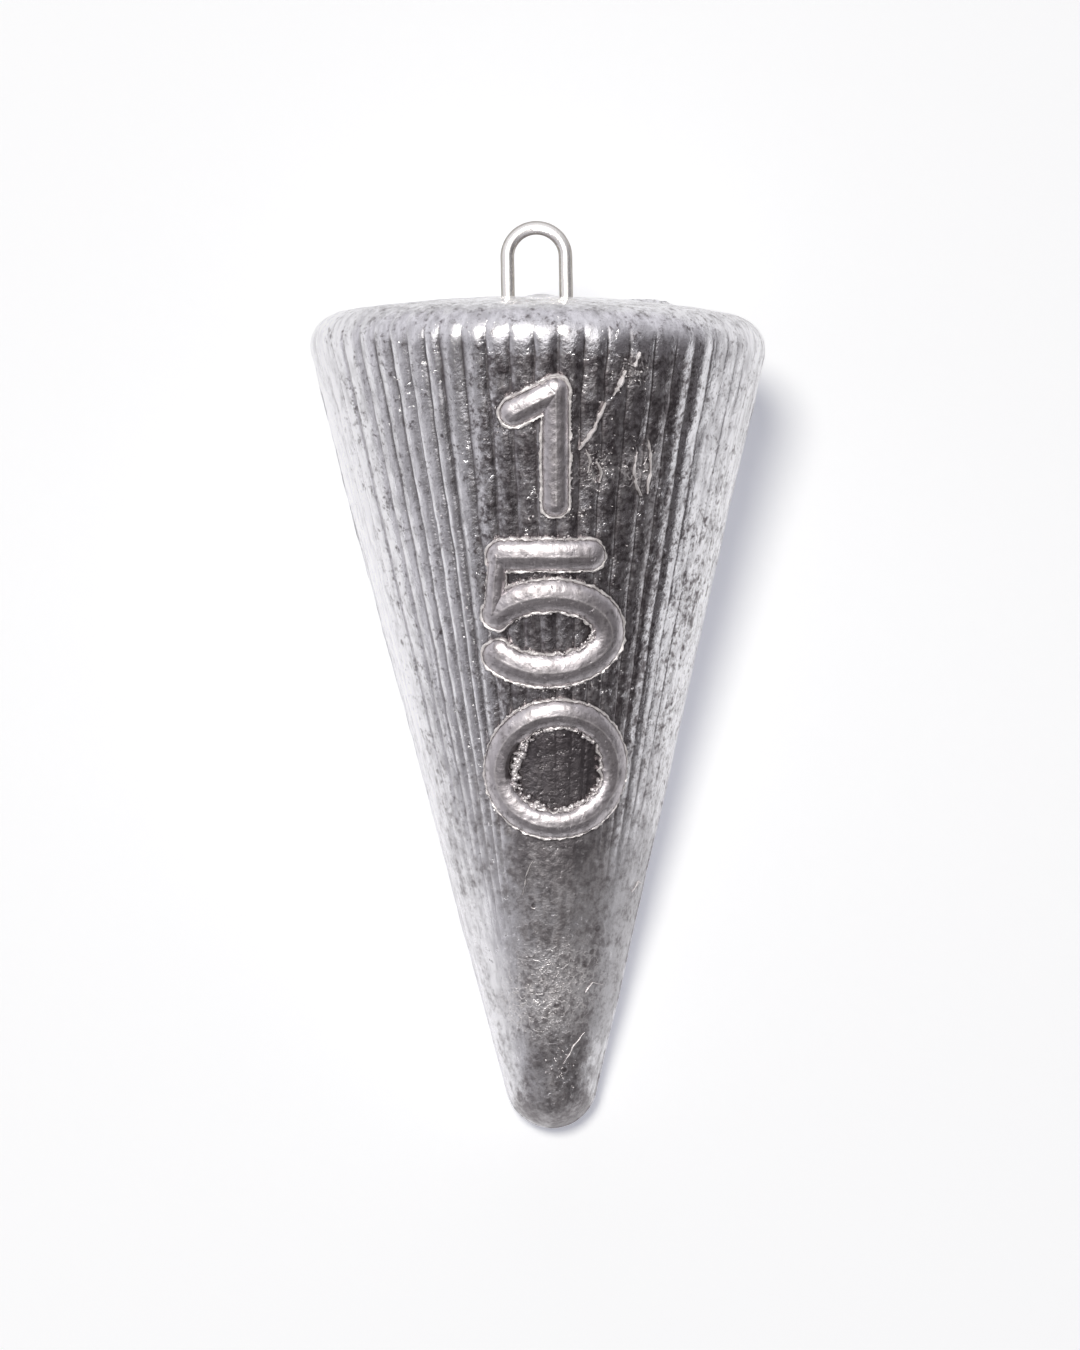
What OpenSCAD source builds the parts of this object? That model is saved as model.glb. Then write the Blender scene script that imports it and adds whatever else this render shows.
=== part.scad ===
// Cast lead fishing sinker, a reeded cone with a rounded tip and a cast-in wire eye.
// The part lies on its side on the plane z = 0, tip towards -Y, eye towards +Y, numerals facing +Z.
// Inside the modules it stands on its tip: z runs up its axis and the numerals face -y.

/* [Body] */
// Width of the body over the crests of its reeds
body_w = 28.2; // [24:0.1:34]
// Length of the lead from its tip to the top of its head
body_l = 51.5; // [46:0.5:62]
// Width of the rounded tip
tip_w = 5.6; // [4:0.1:8]
// Height of the head above the widest ring
head_h = 3.2; // [2.8:0.1:4.5]
// Radius of the rounded shoulder
shoulder_r = 2.2; // [1.2:0.1:2.5]

/* [Reeds] */
// Number of reeds round the body
reed_count = 60; // [44:4:72]
// Depth of the valleys between the reeds at the shoulder
reed_depth = 0.3; // [0.15:0.01:0.45]
// Length of plain side above the tip, where the reeds have run out
plain_l = 11; // [8:0.5:16]
// Length over which the reeds rise from the plain side to their full depth
reed_rise_l = 13; // [8:0.5:20]

/* [Numerals] */
// Distance from the shoulder down to the first numeral
numeral_drop = 1.5; // [1:0.1:3]
// Height of a numeral, measured down the side
numeral_h = 9.1; // [7:0.1:10]
// Width of the widest numerals, measured round the side
numeral_w = 8.9; // [7:0.1:10]
// Gap between two numerals, measured down the side
numeral_gap = 0.8; // [0.5:0.1:2]
// Width of the main strokes
stroke_w = 1.9; // [1.4:0.05:2.2]
// Width of the thin upright stroke of the five
thin_w = 1.3; // [1:0.05:1.6]
// How far the strokes stand out of the side
stroke_rise = 0.6; // [0.3:0.05:0.7]
// Angle by which the numerals sit off the middle of the front
numeral_turn = 5; // [-10:1:10]

/* [Casting marks and wear] */
// Height of the ridge that the joint of the mould leaves
ridge_rise = 0.12; // [0.05:0.01:0.25]
// Width of that ridge
ridge_w = 0.24; // [0.15:0.01:0.4]
// Width of the stub that is left where the gate was cut off
gate_w = 5.2; // [3:0.1:6]
// Height of the stub above the head
gate_h = 0.6; // [0.3:0.05:1]
// Distance of the stub from the axis, to the right of the eye
gate_out = 6.4; // [5:0.1:7.5]
// Distance of the stub from the axis, towards the back
gate_back = 2.6; // [0:0.1:4]
// Depth to which the crests under the part are worn flat, where it rests
worn_flat = 0.34; // [0.1:0.01:0.5]

/* [Wire eye] */
// Diameter of the wire
wire_d = 0.85; // [0.6:0.05:1.2]
// Width of the eye over the wire
eye_w = 4.45; // [3.8:0.05:6]
// Height of the eye above the head
eye_h = 4.75; // [4:0.05:7]
// Length of each leg that is cast into the lead
leg_l = 15; // [8:0.5:20]
// Bend radius of the wire where a foot turns out
bend_r = 1.3; // [1:0.1:2]
// Straight length of each foot
foot_l = 1.6; // [1:0.1:2.5]

/* [Hidden] */

// Space between the wire and the lead that was poured round it
cast_gap = 0.02;

body_r = body_w / 2;
tip_r = tip_w / 2;
wire_r = wire_d / 2;

// The outline is a tip arc, a straight side, a shoulder arc and a shallow dome, each tangent to the next
ring_z = body_l - head_h;
neck_r = body_r - shoulder_r;
side_angle = acos((tip_r - shoulder_r) / norm([neck_r, ring_z - tip_r])) - atan2(ring_z - tip_r, neck_r);
side_top_r = neck_r + shoulder_r * cos(side_angle);
side_top_z = ring_z - shoulder_r * sin(side_angle);
side_low_r = tip_r * cos(side_angle);
side_low_z = tip_r - tip_r * sin(side_angle);
side_l = norm([side_top_r - side_low_r, side_top_z - side_low_z]);
dome_r = (pow(neck_r, 2) + pow(head_h, 2) - pow(shoulder_r, 2)) / (2 * (head_h - shoulder_r));
dome_z = body_l - dome_r;
dome_angle = atan2(ring_z - dome_z, neck_r);

// Steps of the body's surface: four to a reed, and rings along each stretch of the outline
reed_steps = 4;
sector_count = reed_count * reed_steps;
tip_steps = 4;
side_steps = 5;
shoulder_steps = 3;
dome_steps = 2;

// Steps round a bead, the stub, the wire and the cavity that the wire fills
bead_steps = 14;
stub_steps = 28;
wire_steps = 32;
cavity_steps = 16;

// Share of the reed depth that is left where the shoulder meets the dome
dome_reed_share = 0.5;
// Share of the dome's outline over which the reeds run out
dome_step_share = 0.25;

// Radius of a bead of which a width and a rise show above the surface
function bead_r(w, rise) = (pow(w / 2, 2) + pow(rise, 2)) / (2 * rise);

// Radius and height of the side at a distance down from the shoulder
function side_r(down) = side_top_r - down * sin(side_angle);
function side_z(down) = side_top_z - down * cos(side_angle);

// Depth of the reeds on the side: in step with the radius, and rising from nothing above the plain stretch
function rise_share(down) = max(0, min(1, (side_l - plain_l - down) / reed_rise_l));
function side_depth(down) = reed_depth * rise_share(down) * side_r(down) / side_top_r;

// Each ring of the outline: radius, height, angle of the outward normal and reed depth
tip_rings = [
    for (i = [1 : tip_steps])
        let (a = -90 + (90 - side_angle) * i / tip_steps)
        [tip_r * cos(a), tip_r + tip_r * sin(a), a, 0]
];
side_rings = [
    for (i = [1 : side_steps])
        let (down = side_l * (1 - i / side_steps))
        [side_r(down), side_z(down), -side_angle, side_depth(down)]
];
shoulder_rings = [
    for (i = [1 : shoulder_steps])
        let (
            t = i / shoulder_steps,
            a = -side_angle + (dome_angle + side_angle) * t,
            depth = reed_depth * (1 - (1 - dome_reed_share) * t)
        )
        [neck_r + shoulder_r * cos(a), ring_z + shoulder_r * sin(a), a, depth]
];
dome_rings = [
    for (i = [1 : dome_steps])
        let (a = dome_angle + (90 - dome_angle) * dome_step_share * i)
        [dome_r * cos(a), dome_z + dome_r * sin(a), a, 0]
];
rings = concat(tip_rings, side_rings, shoulder_rings, dome_rings);

// How deep a sector lies between two crests: one in the valley, nothing on the crest
function valley_share(sector) = 1 - abs(sin(180 * sector / reed_steps));

// A point of a ring, pushed in along the normal by the depth of its reed
function ring_point(ring, sector) =
    let (
        in = ring[3] * valley_share(sector),
        r = ring[0] - in * cos(ring[2]),
        turn = 360 * sector / sector_count
    )
    [r * sin(turn), -r * cos(turn), ring[1] - in * sin(ring[2])];

// A point above or below the side, at a distance round the side and down from the shoulder
function side_point(across, down, above) =
    let (
        turn = numeral_turn + across / side_r(down) * 180 / PI,
        r = side_r(down) + above * cos(side_angle)
    )
    [r * sin(turn), -r * cos(turn), side_z(down) - above * sin(side_angle)];

// Centre line of the numerals, as shares of half their width and of their height
one_stem_shares = [[-0.05, 0], [-0.05, 0.98]];
one_flag_shares = [[-0.78, 0.2], [-0.06, 0.02]];
five_bar_shares = [[-0.94, 0], [0.58, 0]];
five_back_shares = [[-0.98, 0.02], [-1.1, 0.5]];
five_bowl_shares = [-0.16, 0.69, 1.08, 0.32];
five_bowl_arc = [-147, 146];
zero_shares = [0.05, 0.5, 1.02, 0.5];
arc_steps = 18;

// Points of an oval arc about a centre, all in shares
function oval(c, from, to) = [
    for (i = [0 : arc_steps])
        let (a = from + (to - from) * i / arc_steps)
        [c[0] + c[2] * cos(a), c[1] + c[3] * sin(a)]
];

// Distance of a numeral's top from the shoulder
function numeral_top(place) = numeral_drop + place * (numeral_h + numeral_gap);

// Reeded cone with its tip, shoulder and dome
module reeded_cone() {
    last = len(rings) - 1;
    points = [
        for (ring = rings)
            for (sector = [0 : sector_count - 1])
                ring_point(ring, sector)
    ];
    low_pole = len(points);
    high_pole = low_pole + 1;
    function at(ring, sector) = ring * sector_count + sector % sector_count;
    low_faces = [
        for (s = [0 : sector_count - 1])
            [low_pole, at(0, s), at(0, s + 1)]
    ];
    high_faces = [
        for (s = [0 : sector_count - 1])
            [high_pole, at(last, s + 1), at(last, s)]
    ];
    side_faces = [
        for (ring = [0 : last - 1])
            for (s = [0 : sector_count - 1])
                for (half = [0, 1])
                    half == 0
                        ? [at(ring, s), at(ring + 1, s), at(ring, s + 1)]
                        : [at(ring, s + 1), at(ring + 1, s), at(ring + 1, s + 1)]
    ];
    polyhedron(
        points = concat(points, [[0, 0, 0], [0, 0, body_l]]),
        faces = concat(low_faces, side_faces, high_faces),
        convexity = 4
    );
}

// Rounded bead along a line of shares, at a numeral's place in the row
module bead(shares, place, w) {
    r = bead_r(w, stroke_rise);
    centres = [
        for (s = shares)
            side_point(
                s[0] * (numeral_w - stroke_w) / 2,
                numeral_top(place) + stroke_w / 2 + s[1] * (numeral_h - stroke_w),
                stroke_rise - r
            )
    ];
    for (i = [0 : len(centres) - 2])
        hull() {
            translate(centres[i])
                sphere(r = r, $fn = bead_steps);
            translate(centres[i + 1])
                sphere(r = r, $fn = bead_steps);
        }
}

// The three raised numerals, one above the other down the front
module numerals() {
    bead(one_stem_shares, 0, stroke_w);
    bead(one_flag_shares, 0, stroke_w);
    bead(five_bar_shares, 1, stroke_w);
    bead(five_back_shares, 1, thin_w);
    bead(oval(five_bowl_shares, five_bowl_arc[0], five_bowl_arc[1]), 1, stroke_w);
    bead(oval(zero_shares, 0, 360), 2, stroke_w);
}

// Thin ridge down both sides and round the tip, where the halves of the mould met
module parting_ridge() {
    edge = [
        for (ring = concat(tip_rings, side_rings))
            [ring[0] + ridge_rise * cos(ring[2]), ring[1] + ridge_rise * sin(ring[2])]
    ];
    for (side = [0, 1])
        mirror([side, 0, 0])
            rotate([90, 0, 0])
                linear_extrude(height = ridge_w, center = true)
                    polygon(concat([[0, side_top_z], [0, -ridge_rise]], edge));
}

// Low stub on the head, left where the pouring gate was cut off
module gate_stub() {
    drop = dome_r - sqrt(pow(dome_r, 2) - pow(norm([gate_out, gate_back]) + gate_w / 2, 2));
    translate([gate_out, gate_back, body_l - drop - gate_h])
        cylinder(d = gate_w, h = drop + gate_h + gate_h / 2, $fn = stub_steps);
}

// The wire: a round eye, two legs and two feet that turn out, so that it can't pull out of the lead
module wire(r, steps) {
    bow_r = (eye_w - wire_d) / 2;
    bow_z = body_l + eye_h - eye_w / 2;
    foot_z = body_l - leg_l;
    translate([0, 0, bow_z])
        rotate([90, 0, 0])
            rotate_extrude(angle = 180, $fn = steps * 2)
                translate([bow_r, 0])
                    circle(r = r, $fn = steps);
    for (side = [0, 1])
        mirror([side, 0, 0]) {
            translate([bow_r, 0, foot_z + bend_r])
                cylinder(r = r, h = bow_z - foot_z - bend_r, $fn = steps);
            translate([bow_r + bend_r, 0, foot_z + bend_r])
                rotate([90, 0, 0])
                    rotate_extrude(angle = 90, start = 180, $fn = steps * 2)
                        translate([bend_r, 0])
                            circle(r = r, $fn = steps);
            translate([bow_r + bend_r, 0, foot_z])
                rotate([0, 90, 0])
                    cylinder(r = r, h = foot_l, $fn = steps);
        }
}

// Lays the standing part on its side, on the crests either side of its lowest valley, which are worn flat
module laid_down() {
    half_pitch = 180 / reed_count;
    tilt = atan(tan(side_angle) * cos(half_pitch));
    crest_lift = side_r(side_l + side_low_z / cos(side_angle)) * cos(half_pitch) * cos(tilt);
    tip_y = tip_r * cos(tilt) - tip_r - ridge_rise;
    eye_y = (body_l + eye_h - wire_r) * cos(tilt) + wire_r;
    translate([0, -(tip_y + eye_y) / 2, crest_lift - worn_flat])
        rotate([tilt - 90, 0, 0])
            children();
}

// Everything below the plane that the part rests on
module ground() {
    translate([-body_w / 2, -body_l, -body_w])
        cube([body_w, 2 * body_l, body_w]);
}

// Lead casting, all poured at once round the legs of the wire
module lead_body() {
    color([0.56, 0.56, 0.58])
        difference() {
            laid_down()
                difference() {
                    union() {
                        reeded_cone();
                        numerals();
                        parting_ridge();
                        gate_stub();
                    }
                    wire((wire_r + cast_gap) / cos(180 / cavity_steps), cavity_steps);
                }
            ground();
        }
}

// Bent stainless wire, with its crown above the head and its feet inside the lead
module wire_eye() {
    color([0.80, 0.79, 0.76])
        laid_down()
            wire(wire_r, wire_steps);
}

lead_body();
wire_eye();
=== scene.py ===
"""A cast lead fishing sinker on a white table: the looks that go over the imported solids.

Each piece is shaped in millimetres on the standing sinker, with z up its axis from the tip and the numerals
facing -y. It is then laid on its side on the table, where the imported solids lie.
"""

import sys
import logging
import math
import random
from dataclasses import dataclass
from enum import Enum
from functools import cached_property
from typing import Callable, Iterable, Sequence

import bmesh
import bpy
import numpy as np
from mathutils import Matrix, Vector, noise


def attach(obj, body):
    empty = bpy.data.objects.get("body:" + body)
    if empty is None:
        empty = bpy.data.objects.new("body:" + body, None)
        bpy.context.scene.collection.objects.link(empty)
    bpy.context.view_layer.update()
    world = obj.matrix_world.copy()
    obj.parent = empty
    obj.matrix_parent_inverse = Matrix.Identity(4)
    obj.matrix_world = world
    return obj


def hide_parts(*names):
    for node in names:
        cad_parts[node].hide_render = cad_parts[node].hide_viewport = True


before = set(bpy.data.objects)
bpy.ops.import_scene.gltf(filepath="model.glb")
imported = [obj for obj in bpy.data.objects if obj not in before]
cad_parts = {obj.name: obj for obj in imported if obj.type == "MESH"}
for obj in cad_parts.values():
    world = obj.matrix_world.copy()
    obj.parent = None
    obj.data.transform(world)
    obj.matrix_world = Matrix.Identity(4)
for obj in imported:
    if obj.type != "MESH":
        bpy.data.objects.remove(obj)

log = logging.getLogger("sinker")

MM = 0.001
BODY = "root"
MERGE_MM = 1e-4

Pair = tuple[float, float]
Triple = tuple[float, float, float]
Quad = tuple[float, float, float, float]
Verts = list[bmesh.types.BMVert]
Edges = list[bmesh.types.BMEdge]


class Slot(Enum):
    """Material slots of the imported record."""

    LEAD = "lead"
    WIRE = "wire"


def smooth(low: float, high: float, value: np.ndarray | float) -> np.ndarray | float:
    """Rise smoothly from 0 at low to 1 at high.

    Args:
        low: Value at which the rise starts.
        high: Value at which it ends.
        value: A number, or an array of them.

    Returns:
        The share of the rise, in the form of value.
    """
    t = np.clip((value - low) / (high - low), 0.0, 1.0)
    return t * t * (3.0 - 2.0 * t)


def hump(middle: float, spread: float, value: np.ndarray) -> np.ndarray:
    """A soft hump.

    Args:
        middle: Where it is 1.
        spread: How far from there it has sunk to about 0.37.
        value: An array of numbers.

    Returns:
        Its height at each number.
    """
    return np.exp(-(((value - middle) / spread) ** 2))


def within(low: float, full: float, last: float, high: float, value: np.ndarray) -> np.ndarray:
    """Rise smoothly from 0 at low to 1 at full, and sink from last to 0 at high.

    Args:
        low: Value at which the rise starts.
        full: Value at which the rise ends.
        last: Value at which the fall starts.
        high: Value at which the fall ends.
        value: An array of numbers.

    Returns:
        The share at each number.
    """
    return smooth(low, full, value) * smooth(high, last, value)


def grain(points: np.ndarray, size: float, seed: float = 0.0) -> np.ndarray:
    """Smooth noise between about -1 and 1 at each point.

    Args:
        points: Points in millimetres, one to a row.
        size: Width of a grain in millimetres.
        seed: Shift of the pattern.

    Returns:
        One value to a point.
    """
    scaled = points / size + seed
    return np.array([noise.noise(Vector(p)) for p in scaled.tolist()])


@dataclass(frozen=True)
class Ring:
    """One ring of the body's outline: radius, height, angle of its outward normal and share of the reeds."""

    radius: float
    height: float
    lean: float
    reeds: float
    down: float


@dataclass(frozen=True)
class Outline:
    """The body's outline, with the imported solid's sizes in millimetres."""

    body_w: float = 28.2
    body_l: float = 51.5
    tip_w: float = 5.6
    head_h: float = 3.2
    shoulder_r: float = 2.2
    reed_count: int = 60
    reed_depth: float = 0.3
    plain_l: float = 11.0
    reed_rise_l: float = 13.0
    ridge_rise: float = 0.12
    ridge_half_w: float = 0.15
    worn_flat: float = 0.34
    wire_d: float = 0.85
    eye_h: float = 4.75
    head_reeds: float = 0.24
    head_slant: float = -0.026
    head_slant_l: float = 9.0
    tip_rings: int = 13
    side_rings: int = 116
    shoulder_rings: int = 13
    dome_rings: int = 20

    @cached_property
    def tip_r(self) -> float:
        """Radius of the rounded tip."""
        return self.tip_w / 2

    @cached_property
    def ring_z(self) -> float:
        """Height of the widest ring's centre."""
        return self.body_l - self.head_h

    @cached_property
    def neck_r(self) -> float:
        """Distance of the shoulder arc's centre from the axis."""
        return self.body_w / 2 - self.shoulder_r

    @cached_property
    def side_angle(self) -> float:
        """Angle between the side and the axis."""
        rise = self.ring_z - self.tip_r
        reach = math.hypot(self.neck_r, rise)
        return math.acos((self.tip_r - self.shoulder_r) / reach) - math.atan2(rise, self.neck_r)

    @cached_property
    def side_top(self) -> Pair:
        """Radius and height at which the side meets the shoulder."""
        return (
            self.neck_r + self.shoulder_r * math.cos(self.side_angle),
            self.ring_z - self.shoulder_r * math.sin(self.side_angle),
        )

    @cached_property
    def side_l(self) -> float:
        """Length of the side from the shoulder to the tip's arc."""
        low_r = self.tip_r * math.cos(self.side_angle)
        low_z = self.tip_r - self.tip_r * math.sin(self.side_angle)
        return math.hypot(self.side_top[0] - low_r, self.side_top[1] - low_z)

    @cached_property
    def dome_r(self) -> float:
        """Radius of the shallow dome on the head."""
        rise = self.head_h - self.shoulder_r
        return (self.neck_r**2 + self.head_h**2 - self.shoulder_r**2) / (2 * rise)

    @cached_property
    def laid_down(self) -> Matrix:
        """Matrix from the standing sinker in millimetres to the lying one in metres."""
        half_pitch = math.pi / self.reed_count
        tilt = math.atan(math.tan(self.side_angle) * math.cos(half_pitch))
        low_z = self.tip_r - self.tip_r * math.sin(self.side_angle)
        low_r = self.side_r(self.side_l + low_z / math.cos(self.side_angle))
        lift = low_r * math.cos(half_pitch) * math.cos(tilt) - self.worn_flat
        tip_y = self.tip_r * math.cos(tilt) - self.tip_r - self.ridge_rise
        wire_r = self.wire_d / 2
        eye_y = (self.body_l + self.eye_h - wire_r) * math.cos(tilt) + wire_r
        shift = Matrix.Translation((0.0, -(tip_y + eye_y) / 2, lift))
        turn = Matrix.Rotation(tilt - math.pi / 2, 4, "X")
        return Matrix.Scale(MM, 4) @ shift @ turn

    def side_r(self, down: float) -> float:
        """Radius of the side at a distance down from the shoulder."""
        return self.side_top[0] - down * math.sin(self.side_angle)

    def side_z(self, down: float) -> float:
        """Height of the side at a distance down from the shoulder."""
        return self.side_top[1] - down * math.cos(self.side_angle)

    def side_point(self, turn: float, down: float, above: float = 0.0) -> Vector:
        """A point over the side.

        Args:
            turn: Angle round the axis from the middle of the front, in degrees.
            down: Distance down the side from the shoulder.
            above: Height above the side.

        Returns:
            The point on the standing sinker.
        """
        angle = math.radians(turn)
        radius = self.side_r(down) + above * math.cos(self.side_angle)
        height = self.side_z(down) - above * math.sin(self.side_angle)
        return Vector((radius * math.sin(angle), -radius * math.cos(angle), height))

    def dome_z(self, radius: float) -> float:
        """Height of the dome at a distance from the axis."""
        return self.body_l - self.dome_r + math.sqrt(self.dome_r**2 - radius**2)

    def slanted(self, points: np.ndarray) -> np.ndarray:
        """Lean the head a little to one side, as the cast one does.

        Args:
            points: Points on the standing sinker, one to a row.

        Returns:
            The moved points.
        """
        low = self.side_top[1] - self.head_slant_l
        moved = points.copy()
        share = smooth(low, self.side_top[1], points[:, 2])
        moved[:, 2] += self.head_slant * points[:, 0] * share
        return moved

    def rings(self) -> list[Ring]:
        """All rings from the tip's pole to the dome's pole."""
        made: list[Ring] = []
        low_lean = -self.side_angle
        for i in range(self.tip_rings):
            a = -math.pi / 2 + (math.pi / 2 + low_lean) * i / self.tip_rings
            radius, height = self.tip_r * math.cos(a), self.tip_r + self.tip_r * math.sin(a)
            made.append(Ring(radius, height, a, 0.0, self.side_l))
        for i in range(self.side_rings):
            down = self.side_l * (1 - i / self.side_rings)
            rise = (self.side_l - self.plain_l - down) / self.reed_rise_l
            reeds = float(smooth(-0.25, 1.0, rise)) * self.side_r(down) / self.side_top[0]
            made.append(Ring(self.side_r(down), self.side_z(down), low_lean, reeds, down))
        dome_z = self.body_l - self.dome_r
        dome_lean = math.atan2(self.ring_z - dome_z, self.neck_r)
        for i in range(self.shoulder_rings):
            t = i / self.shoulder_rings
            a = low_lean + (dome_lean - low_lean) * t
            radius = self.neck_r + self.shoulder_r * math.cos(a)
            height = self.ring_z + self.shoulder_r * math.sin(a)
            fade = 1.0 - (1.0 - self.head_reeds) * float(smooth(0.0, 0.4, t))
            made.append(Ring(radius, height, a, fade, 0.0))
        for i in range(self.dome_rings + 1):
            t = i / self.dome_rings
            a = dome_lean + (math.pi / 2 - dome_lean) * t
            fade = self.head_reeds * float(1 - smooth(0.0, 0.28, t))
            made.append(Ring(self.dome_r * math.cos(a), dome_z + self.dome_r * math.sin(a), a, fade, 0.0))
        return made


def maths(operation: str, swapped: bool = False) -> Callable[..., "Socket"]:
    """A method for Socket that adds one Math node.

    Args:
        operation: Name of the node's operation.
        swapped: Whether the other value comes first.

    Returns:
        The method, which takes one other value or none.
    """

    def method(self: "Socket", *others: "Socket | float") -> "Socket":
        """Feed the values into a new Math node."""
        tree = self.socket.node.id_data
        made = tree.nodes.new("ShaderNodeMath")
        made.operation = operation
        for slot, value in zip(made.inputs, (*others, self) if swapped else (self, *others)):
            if isinstance(value, Socket):
                tree.links.new(value.socket, slot)
            else:
                slot.default_value = value
        return Socket(made.outputs[0])

    return method


class Socket:
    """A shader value that adds Math nodes when it is used in an expression."""

    __add__, __radd__ = maths("ADD"), maths("ADD", swapped=True)
    __sub__, __rsub__ = maths("SUBTRACT"), maths("SUBTRACT", swapped=True)
    __mul__, __rmul__ = maths("MULTIPLY"), maths("MULTIPLY", swapped=True)
    __abs__ = maths("ABSOLUTE")
    most = maths("MAXIMUM")

    def __init__(self, socket: bpy.types.NodeSocket) -> None:
        """Wrap an output socket."""
        self.socket = socket

    def rise(self, low: float, high: float) -> "Socket":
        """Smooth rise from 0 at low to 1 at high."""
        tree = self.socket.node.id_data
        made = tree.nodes.new("ShaderNodeMapRange")
        made.interpolation_type = "SMOOTHSTEP"
        made.inputs["From Min"].default_value = low
        made.inputs["From Max"].default_value = high
        tree.links.new(self.socket, made.inputs["Value"])
        return Socket(made.outputs["Result"])


class Shader:
    """A node tree that is filled through one method."""

    def __init__(self, tree: bpy.types.NodeTree) -> None:
        """Empty a tree and keep it."""
        self.tree = tree
        tree.nodes.clear()

    def node(
        self, kind: str, settings: dict[str, object] | None = None,
        inputs: dict[str | int, object] | None = None,
    ) -> bpy.types.Node:
        """Add a node.

        Args:
            kind: Blender's name of the node's type, without ShaderNode.
            settings: Properties of the node, which are set first.
            inputs: Values or links of its sockets.

        Returns:
            The node.
        """
        made = self.tree.nodes.new("ShaderNode" + kind)
        for name, value in (settings or {}).items():
            setattr(made, name, value)
        for name, value in (inputs or {}).items():
            if isinstance(value, Socket):
                self.tree.links.new(value.socket, made.inputs[name])
            else:
                made.inputs[name].default_value = value
        return made

    def out(self, node: bpy.types.Node, name: str | int = 0) -> Socket:
        """An output of a node, ready for expressions."""
        return Socket(node.outputs[name])

    def attribute(self, name: str) -> Socket:
        """A float attribute of the mesh's points."""
        return self.out(self.node("Attribute", {"attribute_name": name}), "Fac")

    def measure(self, operation: str, *vectors: Socket | Sequence[float]) -> Socket:
        """The number that a Vector Math node makes of its vectors."""
        made = self.node("VectorMath", {"operation": operation}, dict(enumerate(vectors)))
        return self.out(made, "Value")

    def bump(self, strength: float, deep_mm: float, height: Socket) -> Socket:
        """The normal of a bumpy surface."""
        inputs = {"Strength": strength, "Distance": deep_mm * MM, "Height": height}
        return self.out(self.node("Bump", {}, inputs), "Normal")

    def coat(self, tone: Socket, metal: Socket | float, rough: Socket, normal: Socket) -> None:
        """Give the material its surface.

        Args:
            tone: Its colour.
            metal: How metallic it is.
            rough: Its roughness.
            normal: Its normal.
        """
        inputs = {"Base Color": tone, "Metallic": metal, "Roughness": rough, "Normal": normal}
        self.show(self.node("BsdfPrincipled", {}, inputs))

    def show(self, shader: bpy.types.Node, kind: str = "Material") -> None:
        """Link a shader to the output of a material or of the world."""
        self.node("Output" + kind, {}, {"Surface": self.out(shader)})

    def mix(self, share: Socket, low: Sequence[float] | Socket, high: Sequence[float] | Socket) -> Socket:
        """Mix two colours.

        Args:
            share: How much of the second colour shows.
            low: Colour at 0.
            high: Colour at 1.

        Returns:
            The mixed colour.
        """
        settings = {"data_type": "RGBA"}
        made = self.node("Mix", settings, {0: share, 6: colour(low), 7: colour(high)})
        return self.out(made, 2)


def colour(value: Sequence[float] | Socket) -> Socket | tuple[float, ...]:
    """A colour with its alpha, or the socket that gives one."""
    return value if isinstance(value, Socket) else (*value, 1.0)


def new_material(name: str) -> tuple[bpy.types.Material, Shader]:
    """A new material and its emptied node tree."""
    made = bpy.data.materials.new(name)
    made.use_nodes = True
    return made, Shader(made.node_tree)


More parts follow.
